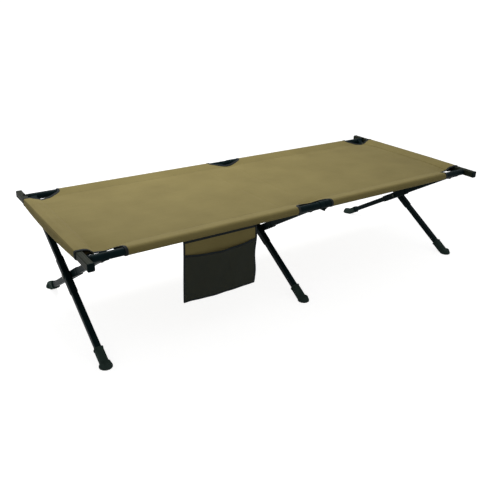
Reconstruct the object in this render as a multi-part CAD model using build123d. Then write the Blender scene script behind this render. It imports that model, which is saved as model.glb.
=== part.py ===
"""Folding camp cot: two tube rails on three scissor leg pairs, two end bars and a canvas bed.

Millimetres. X runs along the cot, -Y is the side with the pocket, Z is up and the floor is Z = 0.
The front frame is the -Y rail with the legs that hang from it, whose feet stand on the +Y side.
"""
from build123d import *
import math
import os

# Overall layout
BAR_SPACING = 2000.0       # between the axes of the two end bars
RAIL_SPACING = 736.0       # between the axes of the two rails
RAIL_HEIGHT = 449.0        # rail axes above the floor
FOOT_SPREAD = 734.0        # between the feet of one leg pair
END_LEG_INSET = 40.0       # from an end bar's axis to the outer leg beside it

# Rails and their mid hinges
RAIL_OD = 30.0
RAIL_WALL = 1.6
HINGE_X = 64.0             # the rails part here, beside the middle legs
HINGE_SPLIT = 2.0          # gap between the two halves of a rail
HINGE_WALL = 1.8
HINGE_LENGTH = 27.0        # length of each leaf's sleeve
KNUCKLE_R = 5.5
HINGE_PIN_R = 2.5
HINGE_HEAD_R = 4.25
HINGE_HEAD = 2.0
TONGUE_WIDTH = 8.0
FORK_WALL = 4.0

# Rail ends
CAP_FLANGE = 13.0
CAP_PLUG = 24.0
CAP_ROUND = 1.6
BAR_PIN_R = 5.0
BAR_PIN_REACH = 13.0       # how far a pin stands into an end bar
BAR_PIN_ROUND = 2.5

# End bars
BAR_LENGTH = 868.0
BAR_DEPTH = 26.0           # along X
BAR_HEIGHT = 30.0
BAR_WALL = 2.0
BAR_CORNER_R = 5.0
BAR_GROOVE = 3.0
BAR_GROOVE_DEPTH = 0.7
BAR_GROOVE_PITCH = 9.0
BAR_CAP_FLANGE = 4.0
BAR_CAP_PLUG_SHARE = 0.35  # of the free length between a cap and the pin beside it
BAR_CAP_LIP = 0.6
BAR_CAP_ROUND = 1.6
SLOT_FLARE = 11.0          # how far the hook slot widens towards its mouth

# Legs, their brackets and the crossing
LEG_WIDTH = 25.0           # square tube
LEG_CORNER_R = 3.5
LEG_WALL = 1.6
BRACKET_LENGTH = 27.0
BRACKET_WALL = 2.2
SADDLE_WRAP = 5.0          # how far the saddle reaches past the rail's middle
EAR_WALL = 2.5
EAR_WIDTH = 24.0
LEG_PIVOT = 36.0           # from the rail's axis to the leg's pivot rivet
LEG_TOP_GAP = 3.0
RIVET_R = 3.5
RIVET_HEAD_R = 6.0
RIVET_HEAD = 2.4
COLLAR_LENGTH = 180.0
COLLAR_WALL = 1.6          # on the faces where two legs meet
COLLAR_WIDTH = 33.0
COLLAR_CORNER_R = 6.0
COLLAR_TAPER = 6.0         # length of the sloped ends
COLLAR_TAPER_DEPTH = 1.2
BOLT_R = 4.0
BOLT_HEAD_R = 12.0         # a broad flat cap
BOLT_HEAD = 3.6
WASHER_R = 10.0
WASHER_T = 1.2
NUT_ACROSS = 13.0
NUT_T = 6.0

# Feet
FOOT_WIDTH = 33.0
FOOT_CORNER_R = 7.0
FOOT_LENGTH = 80.0
FOOT_LIP = 1.5
FOOT_LIP_LENGTH = 6.0
FOOT_SOLE = 6.0
PAD_BASE_R = 26.0
PAD_TOP_R = 19.0
PAD_HEIGHT = 21.0
PAD_EDGE = 5.0

# Canvas bed and its bound cut-outs
CANVAS_T = 2.0
SLEEVE_CLEAR = 0.4
BINDING_WIDTH = 9.0
MID_CUT_X = 12.0
MID_CUT_LENGTH = 184.0
MID_CUT_DEPTH = 46.0       # inside the rail's axis, at the middle of the curved edge
MID_CUT_END_DEPTH = 12.0   # and where the edge turns out over the rail
MID_CUT_R = 15.0
CORNER_CUT_RAIL = 155.0    # along the rail from the end bar's axis
CORNER_CUT_BAR = 58.0      # along the end bar from the rail's axis
CORNER_CUT_IN_X = 60.0     # deepest point of the cut, from the end bar's axis
CORNER_CUT_IN_Y = 72.0     # and from the rail's axis
CORNER_CUT_RAIL_IN = 30.0
CORNER_CUT_R = 60.0        # at the deepest point
CORNER_CUT_END_R = 20.0    # where the edge turns out over the rail

# Pocket
POCKET_X = -462.0
POCKET_WIDTH = 330.0
POCKET_DROP = 250.0
POCKET_OUT = 6.0           # the pocket hangs this far outside the rail's axis
POCKET_SHEET = 1.6
POCKET_EDGE = 6.0
POCKET_EDGE_T = 3.0
POCKET_BEAD_R = 1.6
POCKET_MOUTH = 192.0       # height of the mesh front
POCKET_DEPTH = 14.0
POCKET_MESH_T = 1.4
ELASTIC_HEIGHT = 10.0
ELASTIC_T = 2.6
ELASTIC_ROUND = 2.0

# Clearances
RUN_CLEAR = 0.06           # pins that turn in their holes
FIT_CLEAR = 0.15           # plugs and sleeves
SEAT_CLEAR = 0.3           # faces of separate bodies
CUT_EXTRA = 60.0           # how far a cutting tool runs past what it cuts
HEAD_ROUND = 0.6           # rounding of a rivet or bolt head, as a share of its thickness

# Derived places
RAIL_Y = RAIL_SPACING / 2
BAR_X = BAR_SPACING / 2
BAR_Z = RAIL_HEIGHT + RAIL_OD / 2 - BAR_HEIGHT / 2
BAR_OVERHANG = (BAR_LENGTH - RAIL_SPACING) / 2
BAR_CAP_PLUG = BAR_CAP_PLUG_SHARE * (BAR_OVERHANG - BAR_CAP_FLANGE - BAR_PIN_R)
RAIL_END = BAR_X - BAR_DEPTH / 2 - SEAT_CLEAR - CAP_FLANGE
LEG_TILT = math.atan2(RAIL_HEIGHT, RAIL_Y + FOOT_SPREAD / 2)
LEG_REACH = RAIL_HEIGHT / math.sin(LEG_TILT)
LEG_CROSS = RAIL_Y / math.cos(LEG_TILT)
LEG_TOP = RAIL_OD / 2 + FIT_CLEAR + BRACKET_WALL + LEG_TOP_GAP
LEG_END = LEG_REACH - (LEG_WIDTH / 2 * math.cos(LEG_TILT) + FOOT_SOLE) / math.sin(LEG_TILT)
COLLAR_DEPTH = LEG_WIDTH + 2 * (FIT_CLEAR + COLLAR_WALL)
LEG_OFFSET = COLLAR_DEPTH + WASHER_T + 2 * FIT_CLEAR
OUTER_LEG_X = BAR_X - END_LEG_INSET
SLEEVE_R = RAIL_OD / 2 + SLEEVE_CLEAR + CANVAS_T
CANVAS_TOP = RAIL_HEIGHT + SLEEVE_R
PIN_DROP = RAIL_OD / 2 + FIT_CLEAR + HINGE_WALL + KNUCKLE_R + SEAT_CLEAR
POCKET_Y = -RAIL_Y - POCKET_OUT
POCKET_TOP = (
    RAIL_HEIGHT - math.sqrt(SLEEVE_R**2 - POCKET_OUT**2) - POCKET_BEAD_R - SEAT_CLEAR
)

SIDES = {"front": -1, "back": 1}
# Each leg pair: the front leg's X, the back leg's X, and which way the back leg lies
STATIONS = {
    "left": (-OUTER_LEG_X + LEG_OFFSET, -OUTER_LEG_X, -1),
    "mid": (LEG_OFFSET / 2, -LEG_OFFSET / 2, -1),
    "right": (OUTER_LEG_X - LEG_OFFSET, OUTER_LEG_X, 1),
}
ENDS = {"left": -1, "right": 1}
FROM_BASE = (Align.CENTER, Align.CENTER, Align.MIN)


# Placing and drawing

def facing_x(x, y, z, way=1):
    """A frame whose local z runs along X, the given way."""
    return Plane(origin=(x, y, z), x_dir=(0, way, 0), z_dir=(way, 0, 0)).location


def leg_frame(side, x):
    """A frame on the rail's axis whose local z runs down the leg and local x along the rail."""
    down_leg = (0, -side * math.cos(LEG_TILT), -math.sin(LEG_TILT))
    return Plane(origin=(x, side * RAIL_Y, RAIL_HEIGHT), x_dir=(1, 0, 0), z_dir=down_leg).location


def rod(radius, length, start=0.0):
    return Pos(0, 0, start) * Cylinder(radius, length, align=FROM_BASE)


def ring(outer, inner, length, start=0.0):
    return rod(outer, length, start) - rod(inner, length, start)


def square_rod(width, corner, length, start=0.0):
    return Pos(0, 0, start) * extrude(RectangleRounded(width, width, corner), length)


def across(radius, length, along=0.0):
    """A rod along local y, centred, at a given local z."""
    return Pos(0, 0, along) * Rot(90, 0, 0) * Cylinder(radius, length)


def sideways(radius, length, along=0.0):
    """A rod along local x, centred, at a given local z."""
    return Pos(0, 0, along) * Rot(0, 90, 0) * Cylinder(radius, length)


# Rails

def rail_half(side, start, end):
    tube = ring(RAIL_OD / 2, RAIL_OD / 2 - RAIL_WALL, end - start)
    return facing_x(start, side * RAIL_Y, RAIL_HEIGHT) * tube


def hinge_leaf(side, way, lugs):
    """One leaf of a mid hinge: a sleeve on the rail's end and lugs down to the pin."""
    bore = RAIL_OD / 2 + FIT_CLEAR
    sleeve = ring(bore + HINGE_WALL, bore, HINGE_LENGTH, HINGE_SPLIT / 2)
    root = Pos(-bore + HINGE_WALL, HINGE_LENGTH - HINGE_WALL) * Circle(HINGE_WALL)
    nose = Pos(-PIN_DROP, 0) * Circle(KNUCKLE_R)
    lug_face = make_hull(root.edges() + nose.edges())
    leaf = sleeve
    for low, high in lugs:
        lug = Rot(90, 0, 0) * extrude(lug_face, high - low)
        leaf += Pos(0, high, 0) * lug
    leaf -= rod(bore, HINGE_LENGTH + KNUCKLE_R + HINGE_SPLIT, -KNUCKLE_R)
    leaf -= Pos(-PIN_DROP, 0, 0) * Rot(90, 0, 0) * Cylinder(HINGE_PIN_R + RUN_CLEAR, CUT_EXTRA)
    frame = Plane(origin=(HINGE_X, side * RAIL_Y, RAIL_HEIGHT), x_dir=(0, 0, 1), z_dir=(way, 0, 0))
    return frame.location * leaf


def fork_lugs():
    inner = TONGUE_WIDTH / 2 + FIT_CLEAR
    outer = inner + FORK_WALL
    return [(inner, outer), (-outer, -inner)]


def tongue_lugs():
    return [(-TONGUE_WIDTH / 2, TONGUE_WIDTH / 2)]


def hinge_pin(side):
    half = TONGUE_WIDTH / 2 + FIT_CLEAR + FORK_WALL + FIT_CLEAR
    pin = rod(HINGE_PIN_R, 2 * half, -half)
    for way in (-1, 1):
        head = rod(HINGE_HEAD_R, HINGE_HEAD)
        head = fillet(head.edges().group_by(Axis.Z)[-1], HINGE_HEAD * HEAD_ROUND)
        pin += Rot(0 if way > 0 else 180, 0, 0) * Pos(0, 0, half) * head
    frame = Plane(origin=(HINGE_X, side * RAIL_Y, RAIL_HEIGHT - PIN_DROP), z_dir=(0, 1, 0))
    return frame.location * pin


def rail_cap(side, way):
    """Moulded plug in a rail's end: its flange carries the pin for the end bar."""
    flange = rod(RAIL_OD / 2, CAP_FLANGE)
    flange = fillet(flange.edges().group_by(Axis.Z)[-1], CAP_ROUND)
    cap = flange + rod(RAIL_OD / 2 - RAIL_WALL - FIT_CLEAR, CAP_PLUG, -CAP_PLUG)
    cap -= rod(BAR_PIN_R + RUN_CLEAR, CAP_PLUG + CAP_FLANGE, -CAP_PLUG)
    return facing_x(way * RAIL_END, side * RAIL_Y, RAIL_HEIGHT, way) * cap


def bar_pin(side, way):
    length = CAP_PLUG + CAP_FLANGE + SEAT_CLEAR + BAR_PIN_REACH
    pin = rod(BAR_PIN_R, length, -CAP_PLUG)
    pin = fillet(pin.edges().group_by(Axis.Z)[-1], BAR_PIN_ROUND)
    return facing_x(way * RAIL_END, side * RAIL_Y, RAIL_HEIGHT, way) * pin


# Legs

def leg_bracket(side, x):
    """Stamped saddle round the rail with two ears that hold the leg's top."""
    bore = RAIL_OD / 2 + FIT_CLEAR
    saddle = sideways(bore + BRACKET_WALL, BRACKET_LENGTH)
    saddle &= Pos(0, 0, -SADDLE_WRAP) * Box(CUT_EXTRA * 2, CUT_EXTRA * 2, CUT_EXTRA * 2, align=FROM_BASE)
    ear_side = Plane.XZ * (
        Pos(0, LEG_PIVOT / 2) * Rectangle(EAR_WIDTH, LEG_PIVOT) + Pos(0, LEG_PIVOT) * Circle(EAR_WIDTH / 2)
    )
    inner = LEG_WIDTH / 2 + FIT_CLEAR
    bracket = saddle
    for low in (inner, -inner - EAR_WALL):
        bracket += Pos(0, low + EAR_WALL, 0) * extrude(ear_side, EAR_WALL)
    bracket -= sideways(bore, CUT_EXTRA * 2)
    bracket -= across(RIVET_R + RUN_CLEAR, CUT_EXTRA, LEG_PIVOT)
    return leg_frame(side, x) * bracket


def leg_rivet(side, x):
    half = LEG_WIDTH / 2 + 2 * FIT_CLEAR + EAR_WALL
    head = rod(RIVET_HEAD_R, RIVET_HEAD)
    head = fillet(head.edges().group_by(Axis.Z)[-1], RIVET_HEAD * HEAD_ROUND)
    rivet = rod(RIVET_R, 2 * half, -half)
    for turn in (0, 180):
        rivet += Rot(turn, 0, 0) * Pos(0, 0, half) * head
    return leg_frame(side, x) * Pos(0, 0, LEG_PIVOT) * Rot(90, 0, 0) * rivet


def leg_tube(side, x):
    length = LEG_END - LEG_TOP
    tube = square_rod(LEG_WIDTH, LEG_CORNER_R, length, LEG_TOP)
    tube -= square_rod(LEG_WIDTH - 2 * LEG_WALL, LEG_CORNER_R - LEG_WALL, length, LEG_TOP)
    tube -= across(RIVET_R + RUN_CLEAR, CUT_EXTRA, LEG_PIVOT)
    tube -= sideways(BOLT_R + RUN_CLEAR, CUT_EXTRA, LEG_CROSS)
    return leg_frame(side, x) * tube


def leg_collar(side, x):
    """Moulded sleeve that thickens the leg where it crosses its partner."""
    section = RectangleRounded(COLLAR_DEPTH, COLLAR_WIDTH, COLLAR_CORNER_R)
    collar = Pos(0, 0, LEG_CROSS) * extrude(section, COLLAR_LENGTH / 2, both=True)
    ends = collar.edges().group_by(Axis.Z)
    collar = chamfer(ends[0] + ends[-1], COLLAR_TAPER, COLLAR_TAPER_DEPTH)
    collar -= square_rod(LEG_WIDTH + 2 * FIT_CLEAR, LEG_CORNER_R + FIT_CLEAR, LEG_REACH)
    collar -= sideways(BOLT_R + RUN_CLEAR, CUT_EXTRA, LEG_CROSS)
    return leg_frame(side, x) * collar


def leg_foot(side, x):
    """Rubber boot on the leg's end with a flared pad that stands flat on the floor."""
    frame = leg_frame(side, x)
    start = LEG_REACH - FOOT_LENGTH
    boot = square_rod(FOOT_WIDTH, FOOT_CORNER_R, FOOT_LENGTH, start)
    lip = square_rod(FOOT_WIDTH + 2 * FOOT_LIP, FOOT_CORNER_R + FOOT_LIP, FOOT_LIP_LENGTH, start)
    ground = (x, -side * FOOT_SPREAD / 2, 0)
    pad = Pos(0, 0, PAD_EDGE) * Cone(PAD_BASE_R, PAD_TOP_R, PAD_HEIGHT - PAD_EDGE, align=FROM_BASE)
    pad += rod(PAD_BASE_R, PAD_EDGE)
    foot = frame * (boot + lip) + Pos(*ground) * pad
    foot -= frame * square_rod(
        LEG_WIDTH + 2 * FIT_CLEAR, LEG_CORNER_R + FIT_CLEAR, LEG_END - start + FIT_CLEAR, start
    )
    below = Pos(x, -side * FOOT_SPREAD / 2, -FOOT_LENGTH) * Box(
        FOOT_LENGTH * 3, FOOT_LENGTH * 3, FOOT_LENGTH, align=FROM_BASE
    )
    return foot - below


def crossing_pieces(back_x, way):
    """Shoulder bolt, washer and nut of one crossing, from the back leg's outer face inwards."""
    height = RAIL_HEIGHT - LEG_CROSS * math.sin(LEG_TILT)
    frame = facing_x(back_x + way * COLLAR_DEPTH / 2, 0, height, -way)
    nut_start = COLLAR_DEPTH + LEG_OFFSET + SEAT_CLEAR
    head = fillet(rod(BOLT_HEAD_R, BOLT_HEAD).edges().group_by(Axis.Z)[-1], BOLT_HEAD * HEAD_ROUND)
    bolt = rod(BOLT_R, nut_start + NUT_T + SEAT_CLEAR, 0) + Pos(0, 0, -FIT_CLEAR) * Rot(180, 0, 0) * head
    bolt += rod(BOLT_R, FIT_CLEAR, -FIT_CLEAR)
    washer = ring(WASHER_R, BOLT_R + RUN_CLEAR, WASHER_T, COLLAR_DEPTH + FIT_CLEAR)
    hexagon = extrude(RegularPolygon(NUT_ACROSS / 2, 6, major_radius=False), NUT_T)
    nut = Pos(0, 0, nut_start) * hexagon - rod(BOLT_R + RUN_CLEAR, CUT_EXTRA * 2)
    return frame * bolt, frame * washer, frame * nut


# End bars

def bar_section(grow=0.0):
    return RectangleRounded(BAR_DEPTH + 2 * grow, BAR_HEIGHT + 2 * grow, BAR_CORNER_R + grow)


def bar_tube(way):
    """Grooved extrusion: a round hole on the front pin, an open hook slot on the back pin."""
    section = bar_section() - bar_section(-BAR_WALL)
    for spot in (-BAR_GROOVE_PITCH / 2, BAR_GROOVE_PITCH / 2):
        section -= Pos(way * BAR_DEPTH / 2, spot) * Rectangle(2 * BAR_GROOVE_DEPTH, BAR_GROOVE)
        section -= Pos(spot, BAR_HEIGHT / 2) * Rectangle(BAR_GROOVE, 2 * BAR_GROOVE_DEPTH)
    tube = Pos(way * BAR_X, 0, BAR_Z) * extrude(
        Plane.XZ * section, BAR_LENGTH / 2 - BAR_CAP_FLANGE, both=True
    )
    inner_face = way * (BAR_X - BAR_DEPTH / 2)
    reach = BAR_PIN_REACH + 2 * SEAT_CLEAR
    hole = rod(BAR_PIN_R + RUN_CLEAR, reach, -SEAT_CLEAR)
    tube -= facing_x(inner_face, -RAIL_Y, RAIL_HEIGHT, way) * hole
    seat = BAR_PIN_R + SEAT_CLEAR
    mouth = BAR_HEIGHT / 2 + BAR_WALL
    slot = Circle(seat) + Polygon(
        (-seat - SLOT_FLARE, mouth), (-seat, 0), (seat, 0), (seat, mouth), align=None
    )
    slot_tool = extrude(Plane.YZ * slot, reach + SEAT_CLEAR, both=True)
    return tube - Pos(inner_face, RAIL_Y, RAIL_HEIGHT) * slot_tool


def bar_cap(way, side):
    flange = extrude(bar_section(BAR_CAP_LIP), BAR_CAP_FLANGE)
    flange = fillet(flange.edges().group_by(Axis.Z)[-1], BAR_CAP_ROUND)
    plug = extrude(bar_section(-BAR_WALL - FIT_CLEAR), -BAR_CAP_PLUG)
    frame = Plane(
        origin=(way * BAR_X, side * (BAR_LENGTH / 2 - BAR_CAP_FLANGE), BAR_Z),
        x_dir=(side, 0, 0),
        z_dir=(0, side, 0),
    )
    return frame.location * (flange + plug)


# Canvas bed

def mid_cut(side, grow):
    """A curved edge inside the rail, open over it."""
    half = MID_CUT_LENGTH / 2
    ends = [(-half, -MID_CUT_END_DEPTH), (-half, CUT_EXTRA), (half, CUT_EXTRA), (half, -MID_CUT_END_DEPTH)]
    edge = ThreePointArc(ends[3], (0, -MID_CUT_DEPTH), ends[0])
    outline = make_face(Polyline(*ends).edges() + edge.edges())
    turns = [v for v in outline.vertices() if v.Y < 0]
    tool = Pos(MID_CUT_X, RAIL_Y, 0) * cut_tool(fillet(turns, MID_CUT_R), grow)
    return mirror(tool, Plane.XZ) if side < 0 else tool


def corner_cut(side, way, grow):
    past = CUT_EXTRA
    points = [
        (BAR_X + past, RAIL_Y - CORNER_CUT_BAR),
        (BAR_X - BAR_DEPTH / 2, RAIL_Y - CORNER_CUT_BAR),
        (BAR_X - CORNER_CUT_IN_X, RAIL_Y - CORNER_CUT_IN_Y),
        (BAR_X - CORNER_CUT_RAIL, RAIL_Y - CORNER_CUT_RAIL_IN),
        (BAR_X - CORNER_CUT_RAIL, RAIL_Y + past),
        (BAR_X + past, RAIL_Y + past),
    ]
    outline = Polygon(*points, align=None)
    for spot, radius in ((points[2], CORNER_CUT_R), (points[3], CORNER_CUT_END_R)):
        outline = fillet(outline.vertices().sort_by_distance((*spot, 0))[0], radius)
    tool = cut_tool(outline, grow)
    if side < 0:
        tool = mirror(tool, Plane.XZ)
    if way < 0:
        tool = mirror(tool, Plane.YZ)
    return tool


def cut_tool(outline, grow):
    face = offset(outline, amount=grow) if grow else outline
    return Pos(0, 0, RAIL_HEIGHT) * extrude(face, CUT_EXTRA, both=True, dir=(0, 0, 1))


def whole_canvas():
    """The sheet before its cut-outs: a taut panel with a sleeve round each rail and end bar."""
    sheet = Pos(0, 0, CANVAS_TOP - CANVAS_T) * Box(
        BAR_SPACING, RAIL_SPACING, CANVAS_T, align=FROM_BASE
    )
    for side in SIDES.values():
        sleeve = ring(SLEEVE_R, SLEEVE_R - CANVAS_T, BAR_SPACING - BAR_DEPTH)
        sheet += facing_x(-BAR_X + BAR_DEPTH / 2, side * RAIL_Y, RAIL_HEIGHT) * sleeve
    inner = bar_section(SLEEVE_CLEAR)
    outer = bar_section(SLEEVE_CLEAR + CANVAS_T)
    for way in ENDS.values():
        sleeve = extrude(Plane.XZ * (outer - inner), RAIL_Y - CORNER_CUT_BAR / 2, both=True)
        sheet += Pos(way * BAR_X, 0, BAR_Z) * sleeve
    return sheet


def canvas_and_bindings():
    sheet = whole_canvas()
    canvas = sheet
    bindings = []
    for side in SIDES.values():
        cuts = [(mid_cut(side, 0), mid_cut(side, BINDING_WIDTH))]
        for way in ENDS.values():
            cuts.append((corner_cut(side, way, 0), corner_cut(side, way, BINDING_WIDTH)))
        for bare, bound in cuts:
            bindings.append(sheet & (bound - bare))
            canvas -= bound
    return canvas, bindings


# Pocket

def pocket_panel():
    width = POCKET_WIDTH - 2 * POCKET_EDGE
    height = POCKET_DROP - POCKET_EDGE - POCKET_BEAD_R
    top = POCKET_TOP - POCKET_BEAD_R - FIT_CLEAR
    return Pos(POCKET_X, POCKET_Y, top - height / 2) * Box(width, POCKET_SHEET, height)


def pocket_binding():
    """Bound edge: a round bead at the top seam and tape down the sides and along the bottom."""
    bead = facing_x(POCKET_X - POCKET_WIDTH / 2, POCKET_Y, POCKET_TOP) * rod(POCKET_BEAD_R, POCKET_WIDTH)
    top = POCKET_TOP - POCKET_BEAD_R / 2
    bottom = pocket_floor()
    frame = Rectangle(POCKET_WIDTH, top - (bottom - POCKET_EDGE), align=(Align.CENTER, Align.MAX))
    frame -= Rectangle(POCKET_WIDTH - 2 * POCKET_EDGE, top - bottom, align=(Align.CENTER, Align.MAX))
    tape = extrude(Plane.XZ * frame, POCKET_EDGE_T / 2, both=True)
    return bead + Pos(POCKET_X, POCKET_Y, top) * tape


def pocket_front_box(height, grow):
    """A block on the front of the panel, from which the mesh and its band are hollowed."""
    width = POCKET_WIDTH - 2 * POCKET_EDGE - 2 * ELASTIC_T
    depth = POCKET_DEPTH + grow
    return Box(width + 2 * grow, depth, height, align=(Align.CENTER, Align.MAX, Align.MIN))


def pocket_floor():
    return POCKET_TOP - 2 * POCKET_BEAD_R - FIT_CLEAR - POCKET_DROP + POCKET_EDGE


def pocket_mesh():
    height = POCKET_MOUTH - ELASTIC_HEIGHT
    tray = pocket_front_box(height, 0)
    tray -= Pos(0, 0, POCKET_MESH_T) * pocket_front_box(height, -POCKET_MESH_T)
    return Pos(POCKET_X, POCKET_Y - POCKET_SHEET / 2, pocket_floor()) * tray


def pocket_elastic():
    grow = (ELASTIC_T - POCKET_MESH_T) / 2
    band = pocket_front_box(ELASTIC_HEIGHT, grow)
    band -= pocket_front_box(ELASTIC_HEIGHT, grow - ELASTIC_T)
    band = fillet(band.edges().filter_by(Axis.Z).group_by(Axis.Y)[0], ELASTIC_ROUND)
    level = pocket_floor() + POCKET_MOUTH - ELASTIC_HEIGHT
    return Pos(POCKET_X, POCKET_Y - POCKET_SHEET / 2, level) * band


# Assembly

def frame_nodes(name, side):
    nodes = {
        f"{name}_rail_left": rail_half(side, -RAIL_END, HINGE_X - HINGE_SPLIT / 2),
        f"{name}_rail_right": rail_half(side, HINGE_X + HINGE_SPLIT / 2, RAIL_END),
        f"{name}_hinge_fork": hinge_leaf(side, -1, fork_lugs()),
        f"{name}_hinge_tongue": hinge_leaf(side, 1, tongue_lugs()),
        f"{name}_hinge_pin": hinge_pin(side),
        f"{name}_bar_pins": [bar_pin(side, way) for way in ENDS.values()],
        f"{name}_leg_rivets": [],
    }
    for end, way in ENDS.items():
        nodes[f"{name}_rail_cap_{end}"] = rail_cap(side, way)
    for station, places in STATIONS.items():
        x = places[0] if side < 0 else places[1]
        nodes[f"{name}_bracket_{station}"] = leg_bracket(side, x)
        nodes[f"{name}_leg_{station}"] = leg_tube(side, x)
        nodes[f"{name}_collar_{station}"] = leg_collar(side, x)
        nodes[f"{name}_leg_foot_{station}"] = leg_foot(side, x)
        nodes[f"{name}_leg_rivets"].append(leg_rivet(side, x))
    return nodes


def all_nodes():
    nodes = {}
    for name, side in SIDES.items():
        nodes.update(frame_nodes(name, side))
    crossings = [crossing_pieces(back_x, way) for front_x, back_x, way in STATIONS.values()]
    nodes["crossing_bolts"], nodes["crossing_washers"], nodes["crossing_nuts"] = map(list, zip(*crossings))
    for end, way in ENDS.items():
        nodes[f"{end}_end_bar"] = bar_tube(way)
        nodes[f"{end}_end_bar_caps"] = [bar_cap(way, side) for side in SIDES.values()]
    nodes["bed_canvas"], nodes["canvas_bindings"] = canvas_and_bindings()
    nodes["pocket_panel"] = pocket_panel()
    nodes["pocket_binding"] = pocket_binding()
    nodes["pocket_mesh"] = pocket_mesh()
    nodes["pocket_elastic"] = pocket_elastic()
    return nodes


os.makedirs("parts", exist_ok=True)
for node, shape in all_nodes().items():
    solids = shape if isinstance(shape, list) else [shape]
    loose = [solid for piece in solids for solid in piece.solids()]
    export_step(loose[0] if len(loose) == 1 else Compound(children=loose), f"parts/{node}.step")
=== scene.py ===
"""A folding camp cot dressed on its frame: canvas bed, bound cut-outs, side pocket and finishes.

Metres. X runs along the cot, -Y is the side with the pocket, Z is up and the floor is Z = 0.
"""
import math
from bisect import bisect_right

import bpy
from mathutils import Matrix, Vector, noise


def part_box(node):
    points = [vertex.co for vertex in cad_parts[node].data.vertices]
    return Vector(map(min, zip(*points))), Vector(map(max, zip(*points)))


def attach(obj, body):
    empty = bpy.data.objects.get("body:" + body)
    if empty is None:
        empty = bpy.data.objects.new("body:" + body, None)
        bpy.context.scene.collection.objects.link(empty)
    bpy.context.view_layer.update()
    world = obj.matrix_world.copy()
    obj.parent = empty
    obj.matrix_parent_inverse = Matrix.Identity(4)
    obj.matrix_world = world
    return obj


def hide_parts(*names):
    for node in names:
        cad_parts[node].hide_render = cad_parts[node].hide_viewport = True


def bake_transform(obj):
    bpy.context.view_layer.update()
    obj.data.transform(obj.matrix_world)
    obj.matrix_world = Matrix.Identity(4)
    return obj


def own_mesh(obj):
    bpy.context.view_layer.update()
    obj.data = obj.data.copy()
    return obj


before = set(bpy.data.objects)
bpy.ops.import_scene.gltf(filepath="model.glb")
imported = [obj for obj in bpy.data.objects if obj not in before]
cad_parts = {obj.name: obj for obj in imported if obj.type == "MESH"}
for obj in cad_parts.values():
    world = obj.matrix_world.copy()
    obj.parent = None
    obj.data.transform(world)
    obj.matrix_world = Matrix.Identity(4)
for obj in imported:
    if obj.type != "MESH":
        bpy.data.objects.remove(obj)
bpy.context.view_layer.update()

MM = 0.001

# Places read from the frame
RAIL_LOW, RAIL_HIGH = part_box("back_rail_right")
RAIL_Y = (RAIL_LOW.y + RAIL_HIGH.y) / 2
RAIL_Z = (RAIL_LOW.z + RAIL_HIGH.z) / 2
RAIL_R = (RAIL_HIGH.z - RAIL_LOW.z) / 2
BAR_LOW, BAR_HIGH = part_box("right_end_bar")
BAR_X = (BAR_LOW.x + BAR_HIGH.x) / 2
BAR_Z = (BAR_LOW.z + BAR_HIGH.z) / 2
BAR_CORNER = 5 * MM
POCKET_LOW, POCKET_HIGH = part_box("pocket_binding")
POCKET_X = (POCKET_LOW.x + POCKET_HIGH.x) / 2
POCKET_Y = (POCKET_LOW.y + POCKET_HIGH.y) / 2

# Camera, fitted to the bar ends, feet and leg crossings of the photograph
FRAME_PIXELS = 500
FOCAL_PIXELS = 602.396
SENSOR = 36.0
CAMERA_PLACE = (-1.58424, -2.20086, 1.34264)
CAMERA_AZIMUTH = -34.6663
CAMERA_ELEVATION = 24.5532
CAMERA_ROLL = 1.1896

# Canvas bed
CLOTH_T = 1.2 * MM
CLOTH_CLEAR = 0.8 * MM      # between a tube and the sleeve round it
WRAP_GAP = CLOTH_CLEAR + CLOTH_T / 2
RAIL_SEAM = 60 * MM         # from a rail's axis to the seam that closes its sleeve
BAR_SEAM = 55 * MM          # from an end bar's axis to the seam of its sleeve
PANEL_DROP = 12 * MM        # the panel lies this far below the top of the sleeves
PANEL_SAG = 7 * MM
BAR_BELLY = 9 * MM          # how far a bar's sleeve hangs away from the bar, low down in the middle
HEM = 12 * MM               # how far two pieces of cloth lap at a seam
BAR_HEM = 1.5 * MM          # a bar's sleeve ends at its seam, clear of the legs when the cot is folded
LAYER = 1.15 * CLOTH_T      # from one layer of cloth to the next
PANEL_STEP = 14 * MM
CORNER_STEP = 6 * MM
CORNER_LENGTH = 160 * MM    # of the finer cloth at the panel's corners, from the seam
CORNER_WIDTH = 110 * MM
WRAP_STEP = 5 * MM

# Cut-outs in the canvas and the tape round them
MID_CUT_X = 12 * MM
MID_CUT_LENGTH = 170 * MM
MID_CUT_DEPTH = 35 * MM     # inside the rail's axis, at the middle of the curved edge
MID_CUT_END = 8 * MM        # and where the edge turns out over the rail
CORNER_BAR = 50 * MM        # the bar's sleeve ends here, from the rail's axis
CORNER_BAR_IN = 13 * MM
CORNER_RAIL = 145 * MM      # the rail's sleeve ends here, from the end bar's axis
CORNER_RAIL_IN = 20 * MM
CORNER_PULL = (68 * MM, 76 * MM)  # bends the edge between those two, from the bar and the rail
CORNER_DEEP = (80 * MM, 56 * MM)  # deepest point of the edge
CORNER_UNDER = 63 * MM      # the loose side of a bar's sleeve ends here at its seam, from the rail's axis
CUT_ROUND = 11 * MM         # where an edge turns to go round a tube
CUT_ROUND_STEPS = 8
CUT_STEPS = 12
UNDER_CUT = 10 * MM         # how much deeper the layer under a rail is cut, for the leg's top
CUT_PAST = 40 * MM
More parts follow.
